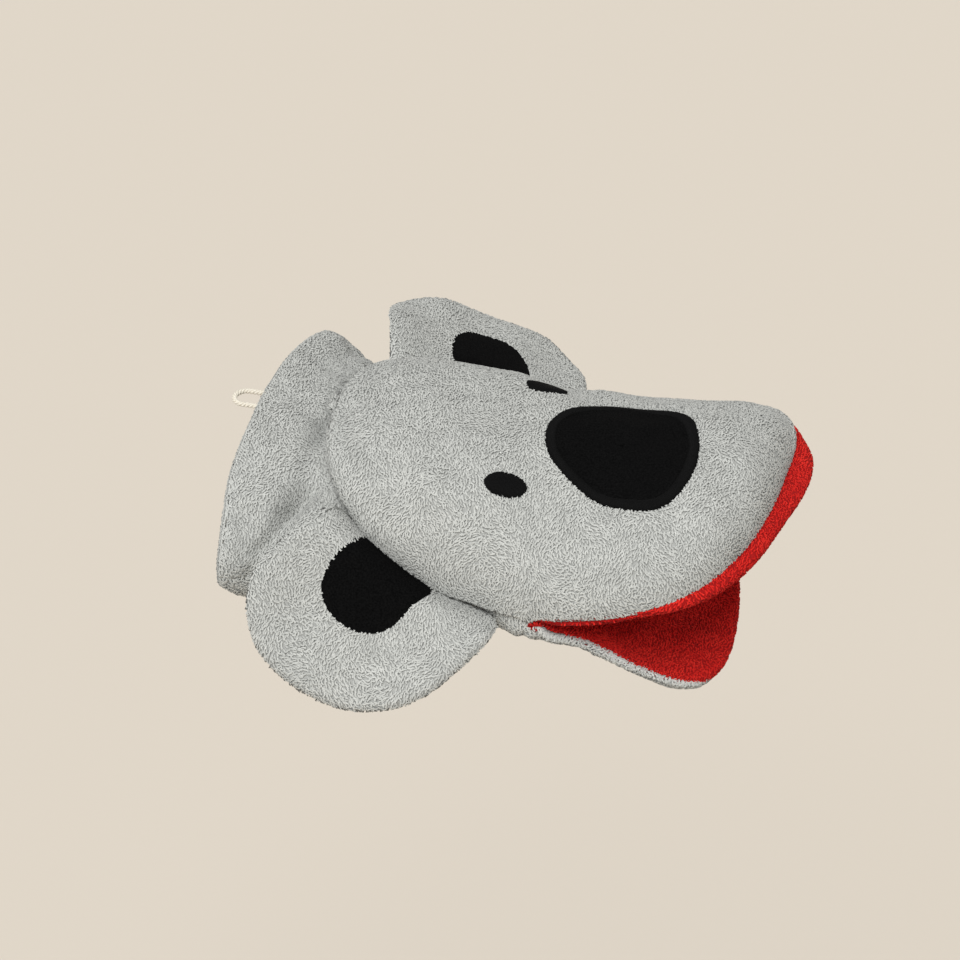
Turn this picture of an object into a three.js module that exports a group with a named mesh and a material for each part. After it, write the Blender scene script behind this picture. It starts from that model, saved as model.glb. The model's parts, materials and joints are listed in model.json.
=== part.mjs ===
// A terry-cloth hand puppet in the shape of a koala's head, as sewn panels about 3 mm thick.
// Millimetres. X runs from the cuff to the snout, Y to the puppet's left and Z up. The origin is the
// centre of the cuff's rim, and the mouth is open as on a hand.
import * as THREE from 'three';

// Driving dimensions
const CLOTH = 3;                  // thickness of one layer of terry
const GAP = 0.4;                  // clearance between neighbouring layers
const RIM_HALF_WIDTH = 74;        // sleeve at the cuff
const RIM_HALF_HEIGHT = 30;
const SLEEVE_LENGTH = 44;
const SLEEVE_SINK = 3.5;          // fall of its top, and rise of its bottom, towards the head
const SLEEVE_TAPER = 13;          // how much each side draws in towards the head
const SEAM_HALF_HEIGHT = 4;       // of the strip that joins the sleeve's back and palm
const HEM_DEPTH = 20;
const HEAD_BACK = 31;             // the face panel's back edge
const HEAD_MIDDLE = 115;          // its widest place
const HEAD_FRONT = 200;           // the tip of the snout
const SNOUT_SLANT = 0.12;         // its left side reaches further forward, as the fingers in it do
const LIP_STAND = 6;              // how far the red lining stands out in front of the face panel
const HEAD_HALF_WIDTH = 63;
const SEAM_LOW = -5;              // height of the face panel's edge at the cheeks
const SEAM_BACK = 33.5;           // the same at the back edge
const SEAM_TIP = 17;              // the same at the snout's tip
const CROWN = 37;                 // mean height of the head's ridge
const CROWN_WAVE = 3.2;           // brow and nose bridge above and below that mean
const CROWN_PEAK = 60;            // X of the brow
const CROWN_WAVE_LENGTH = 145;
const THROAT_BACK = 50;
const THROAT_FRONT = 112;
const THROAT_DEPTH = 31;
const JAW_AXIS_X = 121;
const JAW_AXIS_Z = -8;
const JAW_BACK = 124;
const JAW_FRONT = 194;
const JAW_HALF_WIDTH = 60;
const JAW_DROP = 33;              // fall of the lower lip from the corner of the mouth to its front
const CHIN_DEPTH = 20;
const EAR_LENGTH = 84;            // along its seam
const EAR_HEIGHT = 64;            // from its seam to its outer edge
const LOOP_CORD = 2;              // diameter of the hanging loop's cord
const LOOP_REACH = 12.5;          // how far the loop stands out of the cuff
const LOOP_HALF_WIDTH = 5;
const TACK_THICKNESS = 1.6;

const COLOURS = {
  grey: new THREE.MeshStandardMaterial({ color: 0xb3b7b0, roughness: 0.95 }),
  red: new THREE.MeshStandardMaterial({ color: 0xb5181b, roughness: 0.95 }),
  black: new THREE.MeshStandardMaterial({ color: 0x101011, roughness: 0.9 }),
  cord: new THREE.MeshStandardMaterial({ color: 0xe9e4d6, roughness: 0.85 }),
};
for (const material of Object.values(COLOURS)) {
  material.metalness = 0;
  material.side = THREE.DoubleSide;
}

const puppet = new THREE.Group();

function addMesh(name, geometry, material) {
  const mesh = new THREE.Mesh(geometry, material);
  mesh.name = name;
  puppet.add(mesh);
}

// A closed solid between two grids of points: point(i, j, side) with side 0 outside and 1 inside.
// A wrapped grid closes on itself along j, and an apex draws its first row together to one point.
function sheetSolid({ rows, cols, wrap = false, apex = false, point }) {
  const positions = [];
  const ids = new Map();
  const vertex = (i, j, side) => {
    const column = apex && i === 0 ? 0 : (wrap ? j % cols : j);
    const key = `${i}/${column}/${side}`;
    if (!ids.has(key)) {
      ids.set(key, positions.length / 3);
      positions.push(...point(i / rows, column / cols, side).toArray());
    }
    return ids.get(key);
  };
  const index = [];
  const addTriangle = (a, b, c) => {
    if (a !== b && b !== c && c !== a) index.push(a, b, c);
  };
  const addQuad = (a, b, c, d) => {
    addTriangle(a, b, c);
    addTriangle(a, c, d);
  };
  for (let i = 0; i < rows; i += 1) {
    for (let j = 0; j < cols; j += 1) {
      addQuad(vertex(i, j, 0), vertex(i + 1, j, 0), vertex(i + 1, j + 1, 0), vertex(i, j + 1, 0));
      addQuad(vertex(i, j, 1), vertex(i, j + 1, 1), vertex(i + 1, j + 1, 1), vertex(i + 1, j, 1));
    }
  }
  for (let j = 0; j < cols; j += 1) {
    addQuad(vertex(rows, j, 0), vertex(rows, j, 1), vertex(rows, j + 1, 1), vertex(rows, j + 1, 0));
    if (!apex) addQuad(vertex(0, j, 0), vertex(0, j + 1, 0), vertex(0, j + 1, 1), vertex(0, j, 1));
  }
  for (let i = 0; i < rows && !wrap; i += 1) {
    addQuad(vertex(i, 0, 0), vertex(i, 0, 1), vertex(i + 1, 0, 1), vertex(i + 1, 0, 0));
    addQuad(vertex(i, cols, 0), vertex(i + 1, cols, 0), vertex(i + 1, cols, 1), vertex(i, cols, 1));
  }
  if (signedVolume(positions, index) < 0) index.reverse();
  const geometry = new THREE.BufferGeometry();
  geometry.setAttribute('position', new THREE.Float32BufferAttribute(positions, 3));
  geometry.setIndex(index);
  geometry.computeVertexNormals();
  return geometry;
}

function signedVolume(positions, index) {
  const corner = (k) => new THREE.Vector3().fromArray(positions, index[k] * 3);
  let volume = 0;
  for (let k = 0; k < index.length; k += 3) {
    volume += corner(k).dot(corner(k + 1).cross(corner(k + 2))) / 6;
  }
  return volume;
}

// Unit normal of surface(u, v), taken from small steps that stay inside the unit square
function normalAt(surface, u, v) {
  const step = 0.002;
  const [u0, u1] = [Math.max(u - step, 0), Math.min(u + step, 1)];
  const [v0, v1] = [Math.max(v - step, 0), Math.min(v + step, 1)];
  const along = surface(u1, v).sub(surface(u0, v));
  const across = surface(u, v1).sub(surface(u, v0));
  return along.cross(across).normalize();
}

// A panel of even thickness whose inner face lies inward of surface(u, v)
function addPanel(name, material, rows, cols, surface, inward, thickness = CLOTH) {
  const point = (u, v, side) => (
    surface(u, v).addScaledVector(normalAt(surface, u, v), side * inward * thickness)
  );
  addMesh(name, sheetSolid({ rows, cols, point }), material);
}

// --- Sleeve: two panels round a flattened tube, side strips, a turned hem and the hanging loop ---

const sleeveHalfWidth = (x) => RIM_HALF_WIDTH - SLEEVE_TAPER * (x / SLEEVE_LENGTH) ** 1.5;
const sleeveHalfHeight = (x) => RIM_HALF_HEIGHT - SLEEVE_SINK * x / SLEEVE_LENGTH;

function sleevePoint(x, angle, inset) {
  const halfWidth = sleeveHalfWidth(x) - inset;
  const halfHeight = sleeveHalfHeight(x) - inset;
  return new THREE.Vector3(x, halfWidth * Math.cos(angle), halfHeight * Math.sin(angle));
}

function addSleevePart(name, cols, firstAngle, lastAngle) {
  const point = (u, v, side) => sleevePoint(
    u * SLEEVE_LENGTH, THREE.MathUtils.lerp(firstAngle, lastAngle, v), side * CLOTH,
  );
  addMesh(name, sheetSolid({ rows: 4, cols, point }), COLOURS.grey);
}

const seamAngle = Math.asin(SEAM_HALF_HEIGHT / RIM_HALF_HEIGHT);
const stripAngle = seamAngle - 2.5 * GAP / RIM_HALF_HEIGHT;
addSleevePart('sleeve_back_panel', 16, seamAngle, Math.PI - seamAngle);
addSleevePart('sleeve_palm_panel', 16, Math.PI + seamAngle, 2 * Math.PI - seamAngle);
addSleevePart('sleeve_left_seam', 1, -stripAngle, stripAngle);
addSleevePart('sleeve_right_seam', 1, Math.PI - stripAngle, Math.PI + stripAngle);

addMesh('cuff_hem', sheetSolid({
  rows: 1,
  cols: 32,
  wrap: true,
  point: (u, v, side) => sleevePoint(
    1 + u * HEM_DEPTH, 2 * Math.PI * v, CLOTH + 2.5 * GAP + side * CLOTH * 0.7,
  ),
}), COLOURS.grey);

// The loop's two ends are caught in the rim at the top, and a tack inside the hem holds them
const tackTop = RIM_HALF_HEIGHT - 2 * CLOTH - 1.6;
const tackSection = new THREE.Shape([
  new THREE.Vector2(3, -LOOP_HALF_WIDTH - 3),
  new THREE.Vector2(9, -LOOP_HALF_WIDTH - 3),
  new THREE.Vector2(9, LOOP_HALF_WIDTH + 3),
  new THREE.Vector2(3, LOOP_HALF_WIDTH + 3),
]);
const tackGeometry = new THREE.ExtrudeGeometry(tackSection, { depth: TACK_THICKNESS, bevelEnabled: false });
tackGeometry.translate(0, 0, tackTop - TACK_THICKNESS);
addMesh('loop_tack', tackGeometry, COLOURS.grey);

const loopHeight = RIM_HALF_HEIGHT - CLOTH / 2;
const loopRoute = new THREE.CurvePath();
const loopEnd = (sideways) => new THREE.Vector3(-1.1, sideways * LOOP_HALF_WIDTH, loopHeight);
const loopTurn = (sideways) => loopEnd(sideways).setX(LOOP_HALF_WIDTH - LOOP_REACH);
const turnPoints = [];
const TURN_STEPS = 10;
for (let k = 0; k <= TURN_STEPS; k += 1) {
  const angle = Math.PI * (k / TURN_STEPS - 0.5);
  turnPoints.push(new THREE.Vector3(
    LOOP_HALF_WIDTH - LOOP_REACH - LOOP_HALF_WIDTH * Math.cos(angle),
    LOOP_HALF_WIDTH * Math.sin(angle),
    loopHeight,
  ));
}
loopRoute.add(new THREE.LineCurve3(loopEnd(-1), loopTurn(-1)));
loopRoute.add(new THREE.CatmullRomCurve3(turnPoints));
loopRoute.add(new THREE.LineCurve3(loopTurn(1), loopEnd(1)));
const cordSection = new THREE.Shape().absarc(0, 0, LOOP_CORD / 2, 0, 2 * Math.PI);
addMesh('hanging_loop', new THREE.ExtrudeGeometry(cordSection, {
  extrudePath: loopRoute,
  steps: 24,
  curveSegments: 4,
  bevelEnabled: false,
}), COLOURS.cord);

// --- Head: the face panel over the finger pocket, the throat below and the red palate ---

// Half-width of the head: it narrows to a nearly square back edge and ends in a blunt snout
function headHalfWidth(x, front) {
  const narrowing = 16 * (Math.max(130 - x, 0) / 85) ** 1.15;
  const reach = x < HEAD_MIDDLE
    ? ((HEAD_MIDDLE - x) / (HEAD_MIDDLE - HEAD_BACK)) ** 10
    : ((x - HEAD_MIDDLE) / (front - HEAD_MIDDLE)) ** 6;
  return (HEAD_HALF_WIDTH - narrowing) * Math.sqrt(1 - reach);
}

const faceHalfWidth = (x) => headHalfWidth(x, HEAD_FRONT);

// A point of the snout, moved forward on the left side and back on the right
function slanted(x, y, z) {
  const share = THREE.MathUtils.smoothstep(x, HEAD_MIDDLE, HEAD_MIDDLE + 70);
  return new THREE.Vector3(x + SNOUT_SLANT * share * y, y, z);
}

// Height of the face panel's edge
function faceSeamHeight(x) {
  if (x < 105) {
    return SEAM_LOW + (SEAM_BACK - SEAM_LOW) * ((105 - x) / (105 - HEAD_BACK)) ** 1.8;
  }
  const forward = Math.max(x - HEAD_MIDDLE, 0) / (HEAD_FRONT - HEAD_MIDDLE);
  return SEAM_LOW + (SEAM_TIP - SEAM_LOW) * forward ** 1.2;
}

// Height of the ridge along the middle of the face
function crownHeight(x) {
  const wave = Math.cos(2 * Math.PI * (x - CROWN_PEAK) / CROWN_WAVE_LENGTH);
  const reach = x < HEAD_MIDDLE
    ? ((HEAD_MIDDLE - x) / (HEAD_MIDDLE - HEAD_BACK)) ** 10
    : ((x - HEAD_MIDDLE) / (HEAD_FRONT - HEAD_MIDDLE)) ** 8;
  const seam = faceSeamHeight(x);
  return seam + (CROWN + CROWN_WAVE * wave - seam) * Math.sqrt(1 - reach);
}

function facePoint(x, y) {
  const across = Math.min(Math.abs(y) / faceHalfWidth(x), 1);
  const seam = faceSeamHeight(x);
  return slanted(x, y, seam + (crownHeight(x) - seam) * (1 - across ** 2.2) ** 0.55);
}

// Values from first to last that crowd together at both ends
const eased = (first, last, t) => THREE.MathUtils.lerp(first, last, (1 - Math.cos(Math.PI * t)) / 2);

const FACE_BACK_ROW = HEAD_BACK + 0.1;
const FACE_FRONT_ROW = HEAD_FRONT - 0.2;
addPanel('face_panel', COLOURS.grey, 16, 16, (u, v) => {
  const x = eased(FACE_BACK_ROW, FACE_FRONT_ROW, u);
  return facePoint(x, faceHalfWidth(x) * Math.sin(Math.PI * (v - 0.5)));
}, -1);

// The throat follows the lower part of an ellipse that meets the face panel's edge
function throatPoint(x, v, inset) {
  const rim = faceSeamHeight(x) - 1;
  const rimAngle = Math.asin(rim / THROAT_DEPTH);
  const halfWidth = faceHalfWidth(x) / Math.cos(rimAngle);
  const angle = THREE.MathUtils.lerp(-Math.PI - rimAngle, rimAngle, v);
  return new THREE.Vector3(
    x, (halfWidth - inset) * Math.cos(angle), (THROAT_DEPTH - inset) * Math.sin(angle),
  );
}

addMesh('throat_panel', sheetSolid({
  rows: 7,
  cols: 18,
  point: (u, v, side) => throatPoint(
    THREE.MathUtils.lerp(THROAT_BACK, THROAT_FRONT, u), v, side * CLOTH,
  ),
}), COLOURS.grey);

// The crease where the throat folds at the wrist, between the sleeve's front edge and the throat
addMesh('wrist_crease', sheetSolid({
  rows: 1,
  cols: 18,
  point: (u, v, side) => {
    const x = THREE.MathUtils.lerp(SLEEVE_LENGTH + GAP, THROAT_BACK - GAP, u);
    const point = throatPoint(THROAT_BACK, v, 1 + side * (CLOTH - 1));
    return point.setX(x);
  },
}), COLOURS.grey);

addMesh('palate_lining', sheetSolid({
  rows: 10,
  cols: 12,
  point: (u, v, side) => {
    const x = eased(JAW_AXIS_X + 1, HEAD_FRONT + LIP_STAND - 0.2, u);
    const across = Math.sin(Math.PI * (v - 0.5));
    const sag = 4 * Math.min((x - JAW_AXIS_X) / 30, 1) * (1 - across ** 4);
    const height = faceSeamHeight(x) - GAP - sag - side * CLOTH;
    return slanted(x, headHalfWidth(x, HEAD_FRONT + LIP_STAND) * across, height);
  },
}), COLOURS.red);

// A patch lying on a surface: outline(angle) is its edge in plan, place(x, y, height) lifts a point
function addPatch(name, material, { segments, rings, outline, inner = 0, place, base, height }) {
  const point = (u, v, side) => {
    const edge = outline(2 * Math.PI * v);
    const centre = outline.centre;
    const reach = inner + (1 - inner) * u;
    const x = centre.x + (edge.x - centre.x) * reach;
    const y = centre.y + (edge.y - centre.y) * reach;
    return place(x, y, side === 0 ? base + height : base);
  };
  const solid = sheetSolid({ rows: rings, cols: segments, wrap: true, apex: inner === 0, point });
  addMesh(name, solid, material);
}

function placeOnFace(x, y, height) {
  const surface = (u, v) => facePoint(x + 4 * (u - 0.5), y + 4 * (v - 0.5));
  return facePoint(x, y).addScaledVector(normalAt(surface, 0.5, 0.5), height);
}

// The nose is an egg, narrow towards the eyes
const NOSE_CENTRE = new THREE.Vector2(141, -4);
const NOSE_HALF_LENGTH = 29;
const NOSE_HALF_WIDTH = 27.5;
function noseOutline(angle) {
  const widening = 1 + 0.28 * Math.cos(angle);
  return new THREE.Vector2(
    NOSE_CENTRE.x + NOSE_HALF_LENGTH * Math.cos(angle),
    NOSE_CENTRE.y + NOSE_HALF_WIDTH * Math.sin(angle) * widening,
  );
}
noseOutline.centre = NOSE_CENTRE;
const NOSE_BORDER = 0.87;         // the satin stitches cover the rest, out to the edge
addPatch('nose_border', COLOURS.black, {
  segments: 28, rings: 1, outline: noseOutline, inner: NOSE_BORDER, place: placeOnFace, base: GAP, height: 1.6,
});
const noseInner = (angle) => noseOutline(angle).lerp(NOSE_CENTRE, 1 - NOSE_BORDER + 0.02);
noseInner.centre = NOSE_CENTRE;
addPatch('nose_patch', COLOURS.black, {
  segments: 28, rings: 3, outline: noseInner, place: placeOnFace, base: GAP, height: 1.2,
});

const EYE_X = 104;
const EYE_Y = 32;
for (const [name, sideways] of [['left_eye', 1], ['right_eye', -1]]) {
  const centre = new THREE.Vector2(EYE_X, sideways * EYE_Y);
  const outline = (angle) => new THREE.Vector2(
    centre.x + 8 * Math.cos(angle), centre.y + 4.8 * Math.sin(angle),
  );
  outline.centre = centre;
  addPatch(name, COLOURS.black, {
    segments: 16, rings: 1, outline, place: placeOnFace, base: GAP, height: 1.2,
  });
}

// --- Lower jaw: a chin panel, the red lining in it and the folds that it opens by ---

const jawReach = (x) => (x - JAW_AXIS_X) / (JAW_FRONT - JAW_AXIS_X);
const jawHalfWidth = (x) => JAW_HALF_WIDTH * Math.sqrt(1 - jawReach(x) ** 6);
const lipHeight = (x) => JAW_AXIS_Z - JAW_DROP * jawReach(x) ** 0.75;

addPanel('chin_panel', COLOURS.grey, 10, 14, (u, v) => {
  const x = eased(JAW_BACK, JAW_FRONT - 0.3, u);
  const across = Math.sin(Math.PI * (v - 0.5));
  const depth = CHIN_DEPTH * Math.sqrt(1 - jawReach(x) ** 3.5);
  const profile = (1 - Math.abs(across) ** 2.4) ** 0.55;
  return new THREE.Vector3(x, jawHalfWidth(x) * across, lipHeight(x) - depth * profile);
}, 1);

addMesh('lower_mouth_lining', sheetSolid({
  rows: 10,
  cols: 12,
  point: (u, v, side) => {
    const x = eased(JAW_AXIS_X + 8, JAW_FRONT - 0.3, u);
    const across = Math.sin(Math.PI * (v - 0.5));
    const sag = 4 * Math.min((x - JAW_BACK) / 30, 1) * (1 - jawReach(x) ** 2) * (1 - across ** 2) ** 1.5;
    return new THREE.Vector3(
      x, jawHalfWidth(x) * across, lipHeight(x) + GAP - sag + (1 - side) * CLOTH,
    );
  },
}), COLOURS.red);

// The red fold at the back of the mouth curls round the jaw's axis
addMesh('mouth_fold', sheetSolid({
  rows: 6,
  cols: 6,
  point: (u, v, side) => {
    const angle = THREE.MathUtils.lerp(0.5 * Math.PI, 1.5 * Math.PI, u);
    const radius = 4.5 - side * CLOTH * 0.8;
    return new THREE.Vector3(
      JAW_AXIS_X - 0.5 + radius * Math.cos(angle),
      (v - 0.5) * 2 * (JAW_HALF_WIDTH - 14),
      JAW_AXIS_Z - 2 + radius * Math.sin(angle),
    );
  },
}), COLOURS.red);

// The grey crease below it joins the throat's front edge to the chin's back edge
addMesh('jaw_crease', sheetSolid({
  rows: 1,
  cols: 18,
  point: (u, v, side) => {
    const x = THREE.MathUtils.lerp(THROAT_FRONT + GAP, JAW_BACK - 2.5, u);
    return throatPoint(THROAT_FRONT, v, 3 + side * (CLOTH - 1)).setX(x);
  },
}), COLOURS.grey);

// --- Ears: each is a front and a back layer sewn at the edge, with a black patch on its front ---

const EAR_SEAM_BACK = new THREE.Vector3(43, 47, 21.5);
const EAR_SEAM_FRONT = new THREE.Vector3(107, 65, -7.5);
const EARS = [
  {
    side: 'left', sideways: 1, tip: new THREE.Vector3(46, 98, 12), lean: 2, middle: 38, cup: 2.5,
    patch: new THREE.Vector2(41, 25),
  },
  {
    side: 'right', sideways: -1, tip: new THREE.Vector3(56, 98, -26), lean: -14, middle: 37, cup: 6,
    patch: new THREE.Vector2(28, 21),
  },
];
for (const { side, sideways, tip, lean, middle, cup, patch } of EARS) {
  const mirror = new THREE.Vector3(1, sideways, 1);
  const origin = EAR_SEAM_BACK.clone().multiply(mirror);
  const along = EAR_SEAM_FRONT.clone().multiply(mirror).sub(origin).normalize();
  const toTip = tip.clone().multiply(mirror).sub(origin);
  const normal = along.clone().cross(toTip).multiplyScalar(sideways).normalize();
  const outward = normal.clone().cross(along).multiplyScalar(sideways);
  const place = (x, y, height) => origin.clone()
    .addScaledVector(along, x)
    .addScaledVector(outward, y)
    .addScaledVector(normal, height + cup * ((x - middle) / (EAR_LENGTH / 2)) ** 2);
  const centre = new THREE.Vector2(middle, EAR_HEIGHT * 0.42);
  const outline = (angle) => {
    const x = centre.x + (EAR_LENGTH / 2) * Math.sign(Math.cos(angle)) * Math.abs(Math.cos(angle)) ** 0.85;
    const below = Math.sin(angle) < 0;
    const reach = below ? centre.y - 3.5 : EAR_HEIGHT - centre.y;
    const bend = below ? 0.55 : 0.95;
    const y = centre.y + reach * Math.sign(Math.sin(angle)) * Math.abs(Math.sin(angle)) ** bend;
    return new THREE.Vector2(x + lean * y / EAR_HEIGHT, y);
  };
  outline.centre = centre;
  const layer = { segments: 28, rings: 3, outline, place, height: CLOTH };
  addPatch(`${side}_ear_front`, COLOURS.grey, { ...layer, base: GAP / 2 });
  addPatch(`${side}_ear_back`, COLOURS.grey, { ...layer, base: -CLOTH - GAP / 2 });
  const patchOutline = (angle) => new THREE.Vector2(
    patch.x + 16.5 * Math.cos(angle), patch.y + 17 * Math.sin(angle),
  );
  patchOutline.centre = patch;
  addPatch(`${side}_ear_patch`, COLOURS.black, {
    segments: 20, rings: 1, outline: patchOutline, place, base: CLOTH + GAP * 1.5, height: 1.2,
  });
}

export default puppet;
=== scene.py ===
"""A koala hand puppet in looped terry towelling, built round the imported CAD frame.

Lengths are millimetres in this script and become metres where a mesh is made. X runs from the cuff to
the snout, Y to the puppet's left and Z up.
"""

import json
import math

import bpy
import numpy as np
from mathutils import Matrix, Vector
from mathutils.kdtree import KDTree


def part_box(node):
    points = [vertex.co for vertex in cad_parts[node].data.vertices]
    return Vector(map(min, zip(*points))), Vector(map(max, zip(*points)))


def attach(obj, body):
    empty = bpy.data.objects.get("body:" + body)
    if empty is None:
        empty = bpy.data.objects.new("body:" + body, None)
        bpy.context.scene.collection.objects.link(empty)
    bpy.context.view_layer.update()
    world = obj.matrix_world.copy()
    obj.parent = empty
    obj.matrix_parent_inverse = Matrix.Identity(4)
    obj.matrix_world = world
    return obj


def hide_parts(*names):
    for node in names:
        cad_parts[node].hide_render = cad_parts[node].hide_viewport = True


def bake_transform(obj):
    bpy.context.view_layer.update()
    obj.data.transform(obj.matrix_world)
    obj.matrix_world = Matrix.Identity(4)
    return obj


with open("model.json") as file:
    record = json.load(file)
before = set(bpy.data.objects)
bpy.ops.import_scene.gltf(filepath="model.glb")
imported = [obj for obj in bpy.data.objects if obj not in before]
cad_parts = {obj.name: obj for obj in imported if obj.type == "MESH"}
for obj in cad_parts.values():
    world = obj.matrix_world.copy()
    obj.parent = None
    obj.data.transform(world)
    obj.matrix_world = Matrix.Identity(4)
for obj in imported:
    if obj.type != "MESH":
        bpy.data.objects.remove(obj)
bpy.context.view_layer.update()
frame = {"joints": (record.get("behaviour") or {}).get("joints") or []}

MM = 0.001


def box_mm(node):
    low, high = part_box(node)
    return np.array(low) / MM, np.array(high) / MM


def joint(name):
    return next(j for j in frame["joints"] if j["name"] == name)


# --- Sizes, from the frame ---

CLOTH = 3.0                                    # one layer of towelling
EAR_CLOTH = 2.0
THIN_CLOTH = 1.2                               # the lining and the black patches
sleeve_high = box_mm("sleeve_back_panel")[1]
face_low, face_high = box_mm("face_panel")
throat_low, throat_high = box_mm("throat_panel")
chin_low, chin_high = box_mm("chin_panel")
RIM_HALF_WIDTH = box_mm("sleeve_left_seam")[1][1]
RIM_HALF_HEIGHT = sleeve_high[2]
SLEEVE_LENGTH = sleeve_high[0]
HEAD_BACK = face_low[0] - 0.1
HEAD_FRONT = face_high[0] - 2.3
HEAD_HALF_WIDTH = face_high[1]
HEAD_MIDDLE = 115.0                            # where the head is widest, in X
SNOUT_SLANT = 0.12                             # X that the snout gains for each Y
LIP_STAND = 5.2                                # of the red lip past the face's edge
THROAT_BACK = throat_low[0]
THROAT_FRONT = throat_high[0]
THROAT_DEPTH = -throat_low[2]
JAW_AXIS = np.array(joint("jaw_open")["pos_m"]) / MM
JAW_BACK = chin_low[0]
JAW_FRONT = chin_high[0] + 0.3
JAW_HALF_WIDTH = chin_high[1]
JAW_DROP = 31.0                                # from the hinge down to the jaw's tip
CHIN_DEPTH = 20.0


# --- Small mathematics on arrays ---

def smooth(value, low, high):
    t = np.clip((np.asarray(value, float) - low) / (high - low), 0, 1)
    return t * t * (3 - 2 * t)


def mix(a, b, t):
    return a + (b - a) * t


def eased(first, last, t):
    """Values from first to last that crowd together at both ends."""
    return mix(first, last, (1 - np.cos(np.pi * np.asarray(t, float))) / 2)


def unit(vectors):
    return vectors / np.maximum(np.linalg.norm(vectors, axis=-1, keepdims=True), 1e-9)


def ripple(points, wavelength, seed):
    """Smooth noise of about unit size: a few plane waves in random directions."""
    rng = np.random.default_rng(seed)
    waves = 7
    directions = unit(rng.normal(size=(waves, 3)))
    lengths = wavelength * rng.uniform(0.7, 1.6, waves)
    phases = rng.uniform(0, 2 * np.pi, waves)
    total = sum(
        np.sin(points @ direction * (2 * np.pi / length) + phase)
        for direction, length, phase in zip(directions, lengths, phases)
    )
    return total / math.sqrt(waves / 2)


def crossed(rows, cols):
    """Two arrays of shape (rows, cols) that run from 0 to 1 down the rows and along the columns."""
    return np.meshgrid(np.linspace(0, 1, rows), np.linspace(0, 1, cols), indexing="ij")


def xyz(x, y, z):
    return np.stack(np.broadcast_arrays(x, y, z), axis=-1).astype(float)


def grid_normals(grid, facing, wrap=False):
    """Unit normals of a grid of points. facing is 1 or -1 and turns them all over."""
    if wrap:
        padded = np.concatenate([grid[:, -1:], grid, grid[:, :1]], axis=1)
        across = (padded[:, 2:] - padded[:, :-2]) / 2
    else:
        across = np.gradient(grid, axis=1)
    along = np.gradient(grid, axis=0)
    normals = facing * unit(np.cross(along, across))
    if wrap and np.ptp(grid[0], axis=0).max() < 1e-6:
        normals[0] = unit(normals[1].mean(axis=0))
    return normals


# --- Meshes ---

def put(name, data):
    """A new object in the scene."""
    thing = bpy.data.objects.new(name, data)
    bpy.context.scene.collection.objects.link(thing)
    return thing


def make_object(name, points, faces, materials, face_material=None):
    mesh = bpy.data.meshes.new(name)
    faces = faces if isinstance(faces, list) else faces.tolist()
    mesh.from_pydata((np.asarray(points) * MM).tolist(), [], faces)
    for material in materials:
        mesh.materials.append(material)
    if face_material is not None:
        mesh.polygons.foreach_set("material_index", np.asarray(face_material, np.int32))
    mesh.polygons.foreach_set("use_smooth", np.ones(len(mesh.polygons), bool))
    mesh.update()
    return put(name, mesh)


def tube_faces(rings, sides):
    """Quads round a tube whose points run ring by ring."""
    return [
        [k * sides + s, k * sides + (s + 1) % sides, (k + 1) * sides + (s + 1) % sides, (k + 1) * sides + s]
        for k in range(rings - 1) for s in range(sides)
    ]


def grid_faces(rows, cols, offset, wrap):
    index = offset + np.arange(rows * cols).reshape(rows, cols)
    if wrap:
        index = np.concatenate([index, index[:, :1]], axis=1)
    quads = np.stack([index[:-1, :-1], index[1:, :-1], index[1:, 1:], index[:-1, 1:]], axis=-1)
    return quads.reshape(-1, 4)


def border_strip(outer, inner):
    """Quads between two rows of vertex numbers of equal length."""
    return np.stack([outer[:-1], outer[1:], inner[1:], inner[:-1]], axis=-1)


def cloth_sheet(name, grid, normals, materials, thickness=CLOTH, wrap=False):
    """A layer of cloth: the grid is its outer face, and the inner face lies a thickness behind it."""
    rows, cols = grid.shape[:2]
    inner = grid - normals * thickness
    points = np.concatenate([grid.reshape(-1, 3), inner.reshape(-1, 3)])
    front = grid_faces(rows, cols, 0, wrap)
    back = grid_faces(rows, cols, rows * cols, wrap)[:, ::-1]
    index = np.arange(rows * cols).reshape(rows, cols)
    loops = [index[0], index[-1][::-1]]
    if not wrap:
        loops += [index[::-1, 0], index[:, -1]]
    else:
        loops = [np.append(loop, loop[0]) for loop in loops]
    edges = np.concatenate([border_strip(loop, loop + rows * cols) for loop in loops])[:, ::-1]
    faces = np.concatenate([front, back, edges])
    facing = np.concatenate([np.zeros(len(front)), np.ones(len(back)), np.zeros(len(edges))])
    piece = make_object(name, points, faces, materials, facing)
    fix_outside(piece)
    return piece


def fix_outside(piece):
    """Turns every face outwards where the grid ran the other way."""
    mesh = piece.data
    count = len(mesh.vertices)
    co = np.empty(count * 3)
    mesh.vertices.foreach_get("co", co)
    co = co.reshape(-1, 3)
    mesh.calc_loop_triangles()
    corners = np.empty(len(mesh.loop_triangles) * 3, np.int32)
    mesh.loop_triangles.foreach_get("vertices", corners)
    a, b, c = (co[corners.reshape(-1, 3)[:, k]] for k in range(3))
    if np.einsum("ij,ij->", a, np.cross(b, c)) < 0:
        mesh.flip_normals()


# --- Terry pile: small arched loops of yarn standing on a sheet ---

class Pile:
    """How one kind of towelling stands: lengths in millimetres."""

    def __init__(self, spacing, height, reach, radius, lean):
        self.spacing = spacing
        self.height = height
        self.reach = reach
        self.radius = radius
        self.lean = lean


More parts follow.
